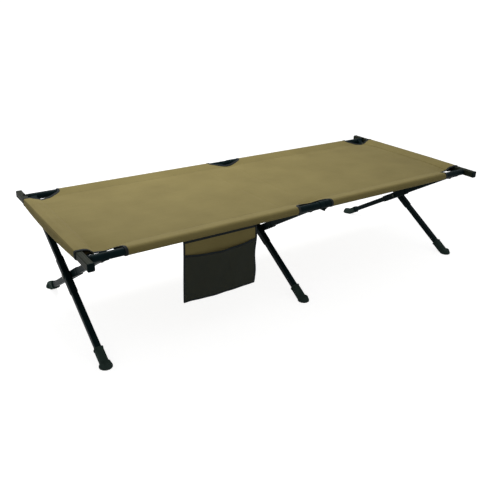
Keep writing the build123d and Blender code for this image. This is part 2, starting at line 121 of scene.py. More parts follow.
# How far the loose edge of a corner hangs, at the left or right end and the front or back
CORNER_DROOPS = {(-1, -1): 14 * MM, (1, -1): 8 * MM, (-1, 1): 4 * MM, (1, 1): 9 * MM}
DROOP_REACH = 52 * MM
MID_DROOP = 14 * MM
MID_DROOP_REACH = (45 * MM, 26 * MM)  # along the rail and across it
DROOP_FADE = 45 * MM        # from a rail's seam outwards
TAPE_WIDTH = 11 * MM
TAPE_FOLD = 0.8 * MM        # how far the tape's fold stands past the cut edge
TAPE_OUT = 1.7 * MM         # outer face, from the middle of the cloth
TAPE_IN = 1.2 * MM          # inner face
TAPE_SOFT = 0.6 * MM        # rounding of its edges
TAPE_STEP = 4 * MM

# Stitching
STITCH_PITCH = 5.5 * MM
STITCH_LENGTH = 4.0 * MM
STITCH_R = 0.5 * MM
STITCH_BODY = 0.3           # share of its length from the middle to where it bends down
STITCH_EDGE = 2 * MM        # from a tape's free edge to its row of stitches
SEAM_ROWS = (-4 * MM, 4 * MM)
BAR_SEAM_ROWS = (3 * MM, 9 * MM)

# Creases across the bed, left where the cot folds in half, and soft waves in the cloth.
# Noise is scaled per metre, and a seed picks a slice of it.
CREASES = ((-125 * MM, 0.9 * MM), (28 * MM, 0.7 * MM))  # place and depth
CREASE_WIDTH = 5 * MM
CREASE_STEP = 0.6 * CREASE_WIDTH
CREASE_STEPS = 3            # columns of cloth to each side of a crease
CREASE_WANDER = 3 * MM
CREASE_WANDER_SCALE = 7
SEAM_PUCKER = 0.45 * MM
SEAM_PUCKER_LENGTH = 34 * MM
SEAM_PUCKER_WIDTH = 13 * MM
SEAM_PUCKER_DRIFT = 5       # radians by which the gathers run out of step
SEAM_PUCKER_SCALE = 6
RAIL_PUCKER_SEED, BAR_PUCKER_SEED = 3.1, 7.7
CLOTH_WAVE = 0.9 * MM
CLOTH_WAVES = ((1.0, 3.1, 6.3, 1.7), (0.5, 9, 4, 5.2))  # share, scale along and across, seed
WAVE_FADE_START = 20 * MM   # inside a rail's seam
WAVE_FADE = 60 * MM

# Pocket
POCKET_SLACK = 5 * MM       # the cloth hangs this much wider and longer than the solid
POCKET_HALF = (POCKET_HIGH.x - POCKET_LOW.x) / 2 + POCKET_SLACK
POCKET_BEAD = 1.6 * MM      # radius of the bead in its top seam
POCKET_TOP = POCKET_HIGH.z - POCKET_BEAD
POCKET_DROP = POCKET_TOP - POCKET_LOW.z + POCKET_SLACK
POCKET_CLOTH_T = 0.9 * MM
POCKET_TAPE = 7 * MM
POCKET_TAPE_T = 3 * MM
POCKET_TUCK = 2 * MM        # how far the cloth's edge lies inside the tape's
POCKET_MOUTH = 56 * MM      # below the top seam, at the sides
MOUTH_SAG = 13 * MM
MOUTH_TAPE = 9 * MM
MOUTH_TAPE_T = 2.4 * MM
NET_BULGE = 11 * MM
NET_GAP = 2 * MM            # between the net and the panel behind it, at the edges
NET_CELL = 4 * MM           # coarser than the real net, so that its holes show
NET_STRAND = 0.8 * MM       # half of what is left between two holes
NET_T = 0.8 * MM
NET_TUCK = 3 * MM
NET_LOW_BULGE = 0.25        # share of the bulge that is left at the bottom
NET_TURN_IN = 6             # it comes back to the panel in the last 1/6 of the drop
NET_FOLD = 0.22             # folds in the net, as a share of the bulge
NET_FOLD_ACROSS, NET_FOLD_DOWN = 17 * MM, 45 * MM  # per radian
POCKET_STEP = 6 * MM
POCKET_RISE = 4 * MM        # how far its top tape stands above that seam, to the sleeve
POCKET_PULL = 8 * MM        # the outer end of the top seam is drawn in by this
POCKET_FOLD = 1.3 * MM      # depth of the hanging folds, lengths per radian
POCKET_FOLD_LENGTH = 26 * MM
POCKET_FOLD_START = 0.7
FINE_FOLD = 0.6             # share of the finer folds, which also slant
FINE_FOLD_LENGTH = 13 * MM
FINE_FOLD_SLANT = 60 * MM
FINE_FOLD_START = 2.0
POCKET_CURL = 3.2 * MM      # waves of the edge towards the middle legs
POCKET_CURL_LENGTH = 26 * MM
POCKET_NARROW = 2.5 * MM    # each side is drawn in by this at the bottom
POCKET_SCALLOP = 2.5 * MM   # waves of the bottom edge
POCKET_SCALLOP_LENGTH = 48 * MM

# Stage
FLOOR_HALF = 40.0
FLOOR_GREY = 0.5
FLOOR_GLOW = 0.85
WORLD_LIGHT = 0.38
WHITE = (1, 1, 1, 1)
KEY_PLACE = (-0.3, 1.0, 2.2)
KEY_AIM = (-0.2, -0.1, 0.45)
KEY_SIZE = (1.3, 1.0)
KEY_WATTS = 34


# Modelling helpers

def deselect():
    if bpy.context.object and bpy.context.object.mode != "OBJECT":
        bpy.ops.object.mode_set(mode="OBJECT")
    bpy.ops.object.select_all(action="DESELECT")


def select(piece):
    deselect()
    piece.select_set(True)
    bpy.context.view_layer.objects.active = piece


def edit(piece):
    select(piece)
    bpy.ops.object.mode_set(mode="EDIT")


def finish_with(piece, kind, **settings):
    """Adds a modifier with its settings and applies it."""
    select(piece)
    modifier = piece.modifiers.new(kind.lower(), kind)
    for name, value in settings.items():
        setattr(modifier, name, value)
    bpy.ops.object.modifier_apply(modifier=modifier.name)


def smooth(piece):
    select(piece)
    bpy.ops.object.shade_smooth_by_angle(angle=math.radians(40))


def join(name, pieces):
    deselect()
    for piece in pieces:
        piece.select_set(True)
    bpy.context.view_layer.objects.active = pieces[0]
    bpy.ops.object.join()
    pieces[0].name = name
    return pieces[0]


def mesh_piece(name, points, faces):
    mesh = bpy.data.meshes.new(name)
    mesh.from_pydata(points, [], faces)
    piece = bpy.data.objects.new(name, mesh)
    bpy.context.scene.collection.objects.link(piece)
    return piece


def spaced(start, end, step):
    count = max(1, round((end - start) / step))
    return [start + (end - start) * i / count for i in range(count + 1)]


def mirrored(half):
    return [-value for value in reversed(half[1:])] + half


def ease(share):
    share = min(max(share, 0.0), 1.0)
    return share * share * (3 - 2 * share)


def hump(value, width):
    return math.exp(-((value / width) ** 2) / 2)


# The bed's surface: flat cloth, with p along the cot and q across it, laid over rails and bars

def wrap_path(seam, centres, radius, hem):
    """A strip pulled tight from its seam over round corners and back under itself to the seam.

    Rows of (length so far, outward, up, heading), in the plane square to the tube."""
    turn_step = math.radians(4)
    start = Vector(seam)
    under = start - Vector((0, LAYER))
    to_first = Vector(centres[0]) - start
    to_last = under - Vector(centres[-1])
    headings = [math.atan2(to_first.y, to_first.x) + math.asin(radius / to_first.length)]
    runs = [Vector(b) - Vector(a) for a, b in zip(centres, centres[1:])]
    headings += [math.atan2(run.y, run.x) for run in runs]
    headings.append(math.atan2(to_last.y, to_last.x) - math.asin(radius / to_last.length))
    for i in range(1, len(headings)):
        while headings[i] > headings[i - 1]:
            headings[i] -= 2 * math.pi
    spots = [(start, headings[0])]
    for centre, turn_in, turn_out in zip(centres, headings, headings[1:]):
        for heading in spaced(turn_in, turn_out, -turn_step):
            out = Vector((-math.sin(heading), math.cos(heading)))
            spots.append((Vector(centre) + radius * out, heading))
    spots.append((under, headings[-1]))
    spots.append((under - Vector((hem, 0)), -math.pi))
    path = []
    length = 0.0
    for i, (spot, heading) in enumerate(spots):
        if i:
            length += (spot - spots[i - 1][0]).length
        path.append((length, spot.x, spot.y, heading))
    return path


def on_path(path, length):
    i = min(max(bisect_right(path, length, key=lambda row: row[0]) - 1, 0), len(path) - 2)
    low, high = path[i], path[i + 1]
    share = (length - low[0]) / max(high[0] - low[0], 1e-9)
    return [a + (b - a) * share for a, b in zip(low, high)][1:]


RAIL_WRAP = RAIL_R + WRAP_GAP
PANEL_Z = RAIL_Z + RAIL_WRAP - PANEL_DROP
P_SEAM = BAR_X - BAR_SEAM
Q_SEAM = RAIL_Y - RAIL_SEAM
BAR_INSET_X = (BAR_HIGH.x - BAR_LOW.x) / 2 - BAR_CORNER
BAR_INSET_Z = (BAR_HIGH.z - BAR_LOW.z) / 2 - BAR_CORNER
BAR_CORNERS = [
    (BAR_X + way * BAR_INSET_X, BAR_Z + rise * BAR_INSET_Z)
    for way, rise in ((-1, 1), (1, 1), (1, -1), (-1, -1))
]
RAIL_PATH = wrap_path((Q_SEAM, PANEL_Z), [(RAIL_Y, RAIL_Z)], RAIL_WRAP, HEM)
BAR_PATH = wrap_path((P_SEAM, PANEL_Z), BAR_CORNERS, BAR_CORNER + WRAP_GAP, BAR_HEM)
P_END = P_SEAM + BAR_PATH[-1][0]
P_OUTER = P_SEAM + next(row[0] for row in BAR_PATH if row[3] < 0)  # past the top of the bar
Q_END = Q_SEAM + RAIL_PATH[-1][0]


def flat_length(seam, path, outward, over=True):
    """Flat coordinate of the cloth over, or under, a place at that distance from the middle."""
    spots = [row for row in path if (row[3] > -math.pi / 2) == over]
    nearest = next(
        (i for i in range(len(spots) - 1) if (spots[i][1] - outward) * (spots[i + 1][1] - outward) <= 0), 0
    )
    low, high = spots[nearest], spots[nearest + 1]
    share = (outward - low[1]) / (high[1] - low[1])
    return seam + low[0] + share * (high[0] - low[0])


def over_bar(from_bar):
    """Flat coordinate along the cot of a place that far inside an end bar's axis."""
    place = BAR_X - from_bar
    return place if place <= P_SEAM else flat_length(P_SEAM, BAR_PATH, place)


def over_rail(from_rail):
    """Flat coordinate across the cot of a place that far inside a rail's axis."""
    place = RAIL_Y - from_rail
    return place if place <= Q_SEAM else flat_length(Q_SEAM, RAIL_PATH, place)


def under_rail(from_rail):
    return flat_length(Q_SEAM, RAIL_PATH, RAIL_Y - from_rail, over=False)


def laid(flat, seam, path):
    """Outward place, rise over the panel and heading of a strip at that flat coordinate."""
    if flat <= seam:
        return flat, 0.0, 0.0
    outward, up, heading = on_path(path, flat - seam)
    return outward, up - PANEL_Z, heading


def cut_droop(x, y, way, side):
    """How far all layers of cloth hang down beside a cut-out, where nothing pulls them tight."""
    from_rail = RAIL_Y - y
    from_deep = Vector((BAR_X - x - CORNER_DEEP[0], from_rail - CORNER_DEEP[1])).length
    off_bar = 1 - ease((x - P_SEAM) / (BAR_SEAM / 2))
    corner = CORNER_DROOPS[way, side] * hump(from_deep, DROOP_REACH) * off_bar
    along, across = MID_DROOP_REACH
    middle = MID_DROOP * hump(x * way - MID_CUT_X, along) * hump(from_rail - MID_CUT_DEPTH, across)
    return (corner + middle) * (1 - ease((y - Q_SEAM) / DROOP_FADE))


def pucker(along, off_seam, seed):
    """Small gathers along a seam, which run out of step."""
    drift = SEAM_PUCKER_DRIFT * noise.noise(Vector((along * SEAM_PUCKER_SCALE, seed, 0)))
    phase = 2 * math.pi * along / SEAM_PUCKER_LENGTH + drift
    return SEAM_PUCKER * hump(off_seam, SEAM_PUCKER_WIDTH) * math.sin(phase)


def ripple(p, q):
    """Small waves of all layers of the cloth: creases, gathered seams and slow undulation."""
    side = abs(q) - Q_SEAM
    on_panel = 1 - ease((side + WAVE_FADE_START) / WAVE_FADE)
    height = 0.0
    for place, depth in CREASES:
        wander = CREASE_WANDER * noise.noise(Vector((place, q * CREASE_WANDER_SCALE, 0)))
        height -= depth * hump(p - place - wander, CREASE_WIDTH) * on_panel
    height += pucker(p, side, RAIL_PUCKER_SEED)
    height += pucker(q, abs(p) - P_SEAM, BAR_PUCKER_SEED)
    slow = sum(
        share * noise.noise(Vector((p * along, q * across, seed)))
        for share, along, across, seed in CLOTH_WAVES
    )
    return height + CLOTH_WAVE * slow * on_panel


def belly(p, q):
    """How far the loose side of a bar's sleeve stands off the bar."""
    share = (abs(p) - P_OUTER) / (P_END - BAR_HEM - P_OUTER)
    slack = 1 - (q / (RAIL_Y - CORNER_BAR)) ** 2
    return BAR_BELLY * math.sin(math.pi * share) * max(0.0, slack) if 0 < share < 1 else 0.0


def bed_point(p, q, lift=0.0):
    """Where a point of the flat cloth lies, lifted square to it."""
    way = 1 if p >= 0 else -1
    side = 1 if q >= 0 else -1
    x, end_rise, end_heading = laid(abs(p), P_SEAM, BAR_PATH)
    y, side_rise, side_heading = laid(abs(q), Q_SEAM, RAIL_PATH)
    on_end = ease((abs(p) - P_SEAM) / (BAR_SEAM / 2))
    y += (abs(q) - y) * on_end
    side_rise *= 1 - on_end
    side_heading *= 1 - on_end
    slack_x = max(0.0, 1 - (x / P_SEAM) ** 2)
    slack_y = max(0.0, 1 - (y / Q_SEAM) ** 2)
    z = PANEL_Z + side_rise + end_rise + ripple(x * way, y * side)
    z -= PANEL_SAG * slack_x * slack_y + cut_droop(x, y, way, side)
    normal = Vector((
        -math.sin(end_heading) * way,
        -math.sin(side_heading) * side,
        math.cos(end_heading) * math.cos(side_heading),
    )).normalized()
    return Vector((x * way, y * side, z)) + normal * (lift + belly(p, q))


def drape(piece, surface):
    """Moves flat cloth onto a surface and keeps its flat coordinates for the weave."""
    flat = [vert.co.copy() for vert in piece.data.vertices]
    weave = piece.data.attributes.new("weave", "FLOAT_VECTOR", "POINT")
    for i, place in enumerate(flat):
        weave.data[i].vector = place
        piece.data.vertices[i].co = surface(*place)
    piece.data.update()
    smooth(piece)
    return piece


# Flat cloth, its cut-outs, tape and stitching

def flat_cloth(name, columns, rows, thickness):
    """A grid at the given places, thickened to both sides."""
    deselect()
    across, down = len(columns) - 1, len(rows) - 1
    bpy.ops.mesh.primitive_grid_add(x_subdivisions=across, y_subdivisions=down, size=2)
    cloth = bpy.context.active_object
    cloth.name = name
    for vert in cloth.data.vertices:
        i = round((vert.co.x + 1) / 2 * across)
        j = round((vert.co.y + 1) / 2 * down)
        vert.co = (columns[i], rows[j], 0)
    finish_with(cloth, "SOLIDIFY", thickness=thickness, offset=0)
    return cloth


def flat_area(cloth):
    return sum(face.area for face in cloth.data.polygons if abs(face.normal.z) > 0.9) / 2


def cut_plate(corners, rounds):
    """A flat plate with the outline of a cut-out, its corners rounded back by the given lengths."""
    deselect()
    bpy.ops.mesh.primitive_circle_add(vertices=len(corners), fill_type="NGON")
    plate = bpy.context.active_object
    for vert, corner in zip(plate.data.vertices, corners):
        vert.co = (*corner, 0)
    for length in sorted(set(rounds) - {0}):
        turning = [Vector((*corner, 0)) for corner, round_by in zip(corners, rounds) if round_by == length]
        edit(plate)
        bpy.ops.mesh.select_all(action="DESELECT")
        bpy.ops.object.mode_set(mode="OBJECT")
        for vert in plate.data.vertices:
            vert.select = any((vert.co - place).length < 1e-6 for place in turning)
        bpy.ops.object.mode_set(mode="EDIT")
        bpy.ops.mesh.bevel(offset=length, segments=CUT_ROUND_STEPS, affect="VERTICES")
        bpy.ops.object.mode_set(mode="OBJECT")
    return plate


def outline_of(plate):
    points = [plate.data.vertices[i].co.copy() for i in plate.data.polygons[0].vertices]
    turned = sum(a.x * b.y - a.y * b.x for a, b in zip(points, points[1:] + points[:1]))
    return points if turned > 0 else points[::-1]


def cut_away(cloths, plate):
    """Thickens the plate to a block and takes it out of the cloths."""
    edit(plate)
    bpy.ops.mesh.select_all(action="SELECT")
    bpy.ops.mesh.extrude_region_move(TRANSFORM_OT_translate={"value": (0, 0, 2 * CUT_PAST)})
    bpy.ops.mesh.select_all(action="SELECT")
    bpy.ops.transform.translate(value=(0, 0, -CUT_PAST))
    bpy.ops.mesh.normals_make_consistent(inside=False)
    deselect()
    for cloth in cloths:
        finish_with(cloth, "BOOLEAN", operation="DIFFERENCE", solver="EXACT", object=plate)
    bpy.data.objects.remove(plate)


def even_points(points, step, closed):
    """Points at even spacing along an outline."""
    loop = points + points[:1] if closed else points
    lengths = [0.0]
    for a, b in zip(loop, loop[1:]):
        lengths.append(lengths[-1] + (b - a).length)
    places = spaced(0, lengths[-1], step)
    even = []
    for place in places[:-1] if closed else places:
        i = min(max(bisect_right(lengths, place) - 1, 0), len(loop) - 2)
        share = (place - lengths[i]) / max(lengths[i + 1] - lengths[i], 1e-9)
        even.append(loop[i].lerp(loop[i + 1], share))
    return even


def left_normals(points, closed):
    """Unit vectors to the left of a flat line."""
    count = len(points)
    normals = []
    for i in range(count):
        before = points[i - 1] if closed or i else points[i]
        after = points[(i + 1) % count] if closed or i < count - 1 else points[i]
        along = (after - before).normalized()
        normals.append(Vector((-along.y, along.x, 0)))
    return normals


def tape_section(width, fold, out, inside):
    """Folded tape: a round fold past the cut edge, two flat faces and a free edge on the cloth."""
    soft = TAPE_SOFT
    return [
        (-fold, (out - inside) / 2),
        (-fold / 2, out - soft / 2),
        (soft, out),
        (width - soft, out),
        (width, out - soft),
        (width, -inside + soft),
        (width - soft, -inside),
        (soft, -inside),
        (-fold / 2, -inside + soft / 2),
    ]


def tape(name, points, closed, section):
    """Tape along a flat line, with its section to the right of the line."""
    normals = left_normals(points, closed)
    count, ring = len(points), len(section)
    verts = [
        point - normal * across + Vector((0, 0, lift))
        for point, normal in zip(points, normals)
        for across, lift in section
    ]
    faces = []
    for i in range(count if closed else count - 1):
        j = (i + 1) % count
        for k in range(ring):
            m = (k + 1) % ring
            faces.append((i * ring + k, j * ring + k, j * ring + m, i * ring + m))
    if not closed:
        faces.append(tuple(range(ring)))
        faces.append(tuple(reversed(range((count - 1) * ring, count * ring))))
    piece = mesh_piece(name, verts, faces)
    edit(piece)
    bpy.ops.mesh.select_all(action="SELECT")
    bpy.ops.mesh.normals_make_consistent(inside=False)
    deselect()
    return piece


def stitches(name, lines, lift):
    """Rows of short rounded stitches along flat lines, given as (points, closed)."""
    verts, faces = [], []
    ring = 4
    for points, closed in lines:
        spots = even_points(points, STITCH_PITCH, closed)
        normals = left_normals(spots, closed)
        for spot, normal in zip(spots, normals):
            along = Vector((normal.y, -normal.x, 0))
            base = len(verts)
            for end in (-1, 1):
                for k in range(ring):
                    turn = 2 * math.pi * k / ring
                    rim = normal * math.cos(turn) + Vector((0, 0, math.sin(turn)))
                    centre = spot + Vector((0, 0, lift)) + along * end * STITCH_LENGTH * STITCH_BODY
                    verts.append(centre + rim * STITCH_R)
            for end in (-1, 1):
                verts.append(spot + Vector((0, 0, lift - STITCH_R)) + along * end * STITCH_LENGTH / 2)
            for k in range(ring):
                m = (k + 1) % ring
                faces.append((base + k, base + m, base + ring + m, base + ring + k))
                faces.append((base + m, base + k, base + 2 * ring))
                faces.append((base + ring + k, base + ring + m, base + 2 * ring + 1))
    return mesh_piece(name, verts, faces)


# Canvas bed

def crease_columns():
    spread = range(-CREASE_STEPS, CREASE_STEPS + 1)
    return [place + step * CREASE_STEP for place, _ in CREASES for step in spread]


def panel_cloth():
    half_rows = spaced(0, Q_SEAM - CORNER_WIDTH, PANEL_STEP)
    half_rows += spaced(Q_SEAM - CORNER_WIDTH, Q_SEAM, CORNER_STEP)[1:]
    half_rows += spaced(Q_SEAM, Q_END, WRAP_STEP)[1:]
    half_columns = spaced(0, P_SEAM - CORNER_LENGTH, PANEL_STEP)
    columns = mirrored(half_columns + spaced(P_SEAM - CORNER_LENGTH, P_SEAM + HEM, CORNER_STEP)[1:])
    columns = sorted(set(round(place, 5) for place in columns + crease_columns()))
    return flat_cloth("bed_panel", columns, mirrored(half_rows), CLOTH_T)


def sleeve_cloth(end, way):
    columns = spaced(P_SEAM - BAR_HEM, P_END, WRAP_STEP)
    if way < 0:
        columns = [-place for place in reversed(columns)]
    outer = RAIL_Y - CORNER_BAR + PANEL_STEP
    half_rows = spaced(0, outer - CORNER_WIDTH, PANEL_STEP)
    half_rows += spaced(outer - CORNER_WIDTH, outer, CORNER_STEP)[1:]
    return flat_cloth(f"{end}_bar_sleeve", columns, mirrored(half_rows), CLOTH_T)


def over_panel(p, q, lift):
    """A bar's sleeve laps over the panel's end before it goes round the bar."""
    lap = LAYER * (1 - ease((abs(p) - P_SEAM - HEM) / (BAR_SEAM / 3)))
    return bed_point(p, q, lift + lap)


def mid_outline(side):
    """The cut over the middle legs: one curved edge above the rail and a deeper one below it."""
    over, under = [], []
    for share in spaced(-1, 1, 2 / CUT_STEPS):
        bow = 1 - share**2
        along = MID_CUT_X + share * MID_CUT_LENGTH / 2
        depth = MID_CUT_END + (MID_CUT_DEPTH - MID_CUT_END) * bow
        over.append((along, side * over_rail(depth)))
        under.append((along, side * under_rail(depth + UNDER_CUT * bow)))
    ends = [CUT_ROUND] + [0] * (CUT_STEPS - 1) + [CUT_ROUND]
    return over + under[::-1], ends + ends


def corner_outline(way, side):
    """The cut at one corner: from under the bar's sleeve, in a curve to the rail's, and under that."""
    bar_end, rail_end = RAIL_Y - CORNER_BAR, BAR_X - CORNER_RAIL
    bar_under = flat_length(P_SEAM, BAR_PATH, BAR_X - CORNER_BAR_IN, over=False)
    past_p, past_q = P_END + CUT_PAST, Q_END + CUT_PAST
    start = Vector((CORNER_BAR_IN, CORNER_BAR))
    finish = Vector((CORNER_RAIL, CORNER_RAIL_IN))
    rows = [((past_p, RAIL_Y - CORNER_UNDER), 0), ((bar_under, bar_end), 0)]
    for share in spaced(0, 1, 1 / CUT_STEPS):
        first = start.lerp(Vector(CORNER_PULL), share)
        inside = first.lerp(Vector(CORNER_PULL).lerp(finish, share), share)
        rows.append(((over_bar(inside.x), over_rail(inside.y)), 0))
    rows[-1] = (rows[-1][0], CUT_ROUND)
    rows.append(((rail_end, under_rail(CORNER_RAIL_IN)), CUT_ROUND))
    rows.append(((rail_end + CUT_PAST, past_q), 0))
    rows.append(((past_p, past_q), 0))
    return [(way * p, side * q) for (p, q), _ in rows], [length for _, length in rows]


def inside_run(points):
    """The stretch of a corner's outline that lies on the cloth, as an open line."""
    on_cloth = [abs(point.x) < P_END - BAR_HEM and abs(point.y) < Q_END - HEM for point in points]
    first = next(i for i in range(len(points)) if on_cloth[i] and not on_cloth[i - 1])
    turned = points[first:] + points[:first]
    kept = on_cloth[first:] + on_cloth[:first]
    return [point for point, keep in zip(turned, kept) if keep]


def split_at_seam(points):
    """Parts a line where it leaves the panel for a bar's sleeve."""
    panel = [point for point in points if abs(point.x) <= P_SEAM + HEM]
    sleeve = [point for point in points if abs(point.x) >= P_SEAM - BAR_HEM]
    return panel, sleeve


def canvas_bed():
    """Panel, bar sleeves, tape and stitches, all laid flat, cut and draped on the frame."""
    ways = {"left": -1, "right": 1}
    panel = panel_cloth()
    sleeves = {end: sleeve_cloth(end, way) for end, way in ways.items()}
    section = tape_section(TAPE_WIDTH - TAPE_FOLD, TAPE_FOLD, TAPE_OUT, TAPE_IN)
    panel_tapes, panel_rows = [], []
    sleeve_tapes = {end: [] for end in ways}
    sleeve_rows = {end: [] for end in ways}
    row_in = TAPE_WIDTH - TAPE_FOLD - STITCH_EDGE
    for side in (-1, 1):
        plate = cut_plate(*mid_outline(side))
        loop = even_points(outline_of(plate), TAPE_STEP, True)
        panel_tapes.append(tape("tape", loop, True, section))
        panel_rows.append((inset_line(loop, row_in, True), True))
        cut_away([panel], plate)
        for end, way in ways.items():
            plate = cut_plate(*corner_outline(way, side))
            run = inside_run(even_points(outline_of(plate), TAPE_STEP, True))
            on_panel, on_sleeve = split_at_seam(run)
            panel_tapes.append(tape("tape", on_panel, False, section))
            panel_rows.append((inset_line(on_panel, row_in, False), False))
            sleeve_tapes[end].append(tape("tape", on_sleeve, False, section))
            sleeve_rows[end].append((inset_line(on_sleeve, row_in, False), False))
            cut_away([panel, sleeves[end]], plate)
    areas = {cloth.name: flat_area(cloth) for cloth in (panel, *sleeves.values())}
    drape(panel, bed_point)
    binding = drape(join("bed_tape", panel_tapes), bed_point)
    tape_thread = drape(stitches("bed_tape_stitches", panel_rows, TAPE_OUT), bed_point)
    seam_thread = drape(stitches("bed_seam_stitches", rail_seam_rows(), CLOTH_T / 2), bed_point)
    dressed = {"panel": (panel, binding, tape_thread, seam_thread)}
    for end, way in ways.items():
        cloth = drape(sleeves[end], over_panel)
        bound = drape(join(f"{end}_sleeve_tape", sleeve_tapes[end]), over_panel)
        thread = drape(stitches(f"{end}_sleeve_tape_stitches", sleeve_rows[end], TAPE_OUT), over_panel)
        seam = stitches(f"{end}_sleeve_seam_stitches", bar_seam_rows(way), CLOTH_T / 2)
        dressed[end] = (cloth, bound, thread, drape(seam, over_panel))
    return dressed, areas


def inset_line(points, distance, closed):
    """A flat line moved to its right, onto the cloth."""
    normals = left_normals(points, closed)
    return [point - normal * distance for point, normal in zip(points, normals)]


def rail_seam_rows():
    reach = BAR_X - CORNER_RAIL + TAPE_WIDTH
    rows = []
    for side in (-1, 1):
        for row in SEAM_ROWS:
            q = side * (Q_SEAM + row)
            rows.append(([Vector((-reach, q, 0)), Vector((reach, q, 0))], False))
    return rows


def bar_seam_rows(way):
    reach = RAIL_Y - CORNER_DEEP[1] - TAPE_WIDTH
    return [
        ([Vector((way * (P_SEAM + row), -reach, 0)), Vector((way * (P_SEAM + row), reach, 0))], False)
        for row in BAR_SEAM_ROWS
    ]


# Pocket

def pocket_point(a, b, out=0.0):
    """Where a point of the pocket's flat panel hangs: a across it, b down from the top seam."""
    hang = ease(b / POCKET_DROP)
    edge = a / POCKET_HALF
    fold = math.sin(a / POCKET_FOLD_LENGTH + POCKET_FOLD_START)
    fold += FINE_FOLD * math.sin(a / FINE_FOLD_LENGTH + b / FINE_FOLD_SLANT + FINE_FOLD_START)
    sway = POCKET_CURL * max(0.0, edge) ** 3 * math.sin(b / POCKET_CURL_LENGTH) - POCKET_NARROW * hang * edge
    sway += POCKET_PULL * max(0.0, -edge) * (1 - hang)
    lift = POCKET_SCALLOP * hang * math.cos(a / POCKET_SCALLOP_LENGTH)
    return Vector((POCKET_X + a + sway, POCKET_Y - out + POCKET_FOLD * hang * fold, POCKET_TOP - b - lift))


def mouth_drop(a):
    """How far below the top seam the net's mouth hangs."""
    return POCKET_MOUTH + MOUTH_SAG * (1 - (a / POCKET_HALF) ** 2)


def net_out(a, b):
    """How far the net stands out from the panel: slack at the mouth, sewn down at the edges."""
    across = max(0.0, 1 - (a / POCKET_HALF) ** 2)
    down = max(0.0, 1 - (b - POCKET_MOUTH) / (POCKET_DROP - POCKET_MOUTH))
    folds = NET_FOLD * math.sin(a / NET_FOLD_ACROSS + b / NET_FOLD_DOWN) * across
    bulge = NET_BULGE * across * (NET_LOW_BULGE + (1 - NET_LOW_BULGE) * down + folds)
    return NET_GAP + bulge * ease(NET_TURN_IN * (1 - b / POCKET_DROP))


def net_point(a, b, out=0.0):
    return pocket_point(a, b, net_out(a, b) + out)


def pocket_cloth():
    half = POCKET_HALF - POCKET_TUCK
    columns = spaced(-half, half, POCKET_STEP)
    rows = spaced(POCKET_TUCK, POCKET_DROP - POCKET_TUCK, POCKET_STEP)
    return flat_cloth("pocket_back", columns, rows, POCKET_CLOTH_T)


def pocket_net():
    """A sheet of small cells, each opened by an inset."""
    deselect()
    half = POCKET_HALF - NET_TUCK
    across = round(2 * half / NET_CELL)
    down = round((POCKET_DROP - POCKET_MOUTH) / NET_CELL)
    bpy.ops.mesh.primitive_grid_add(x_subdivisions=across, y_subdivisions=down, size=2)
    net = bpy.context.active_object
    net.name = "pocket_net"
    for vert in net.data.vertices:
        a = vert.co.x * half
        share = (vert.co.y + 1) / 2
        top = mouth_drop(a)
        vert.co = (a, top + share * (POCKET_DROP - NET_TUCK - top), 0)
    edit(net)
    bpy.ops.mesh.select_all(action="SELECT")
    bpy.ops.mesh.inset(thickness=NET_STRAND, use_individual=True)
    bpy.ops.mesh.delete(type="FACE")
    deselect()
    finish_with(net, "SOLIDIFY", thickness=NET_T, offset=0)
    return net


def pocket():
    """Back, net, edge tape, mouth tape and stitches, made flat and hung, and the flat areas."""
    half, drop = POCKET_HALF, POCKET_DROP
    back = pocket_cloth()
    net = pocket_net()
    areas = {piece.name: flat_area(piece) for piece in (back, net)}
    edge = [Vector((-half, 0, 0)), Vector((-half, drop, 0)), Vector((half, drop, 0)), Vector((half, 0, 0))]
    edge = [edge[0], *even_points(edge, TAPE_STEP, False)[1:-1], edge[-1]]
    flat_section = tape_section(POCKET_TAPE, 0, POCKET_TAPE_T / 2 + NET_GAP, POCKET_TAPE_T / 2)
    side_tape = tape("pocket_edge_tape", edge, False, flat_section)
    seam = even_points([Vector((-half, -POCKET_RISE, 0)), Vector((half, -POCKET_RISE, 0))], TAPE_STEP, False)
    top_section = tape_section(POCKET_RISE + POCKET_TAPE, 0, POCKET_TAPE_T / 2, POCKET_TAPE_T / 2)
    top_tape = tape("tape", seam[::-1], False, top_section)
    across = spaced(-half + NET_TUCK, half - NET_TUCK, TAPE_STEP)
    mouth = [Vector((a, mouth_drop(a) - MOUTH_TAPE / 2, 0)) for a in across]
    mouth_section = tape_section(MOUTH_TAPE, 0, MOUTH_TAPE_T / 2, MOUTH_TAPE_T / 2)
    mouth_tape = tape("pocket_mouth_tape", mouth[::-1], False, mouth_section)
    sewn = [point for point in edge if point.y > POCKET_TAPE]
    rows = [(inset_line(sewn, POCKET_TAPE - STITCH_EDGE, False), False)]
    thread = stitches("pocket_stitches", rows, POCKET_TAPE_T / 2 + NET_GAP)
    drape(back, pocket_point)
    drape(net, net_point)
    edges = drape(join("pocket_edge_tape", [side_tape, top_tape]), pocket_point)
    return back, net, edges, drape(mouth_tape, net_point), drape(thread, pocket_point), areas


# Materials

def colour(code):
    """sRGB hex to linear colour."""
    channels = [int(code[i:i + 2], 16) / 255 for i in (1, 3, 5)]
    return (*[c / 12.92 if c <= 0.04045 else ((c + 0.055) / 1.055) ** 2.4 for c in channels], 1.0)


def feed(tree, node, inputs):
    """Sets a node's inputs; one given as a socket is linked."""
    for name, value in inputs.items():
        if isinstance(value, bpy.types.NodeSocket):
            tree.links.new(value, node.inputs[name])
        else:
            node.inputs[name].default_value = value


def add_node(tree, kind, inputs=None, **settings):
    made = tree.nodes.new(f"ShaderNode{kind}")
    for name, value in settings.items():
        setattr(made, name, value)
    feed(tree, made, inputs or {})
    return made


def new_material(name):
    material = bpy.data.materials.new(name)
    material.use_nodes = True
    tree = material.node_tree
    return material, tree, tree.nodes["Principled BSDF"]


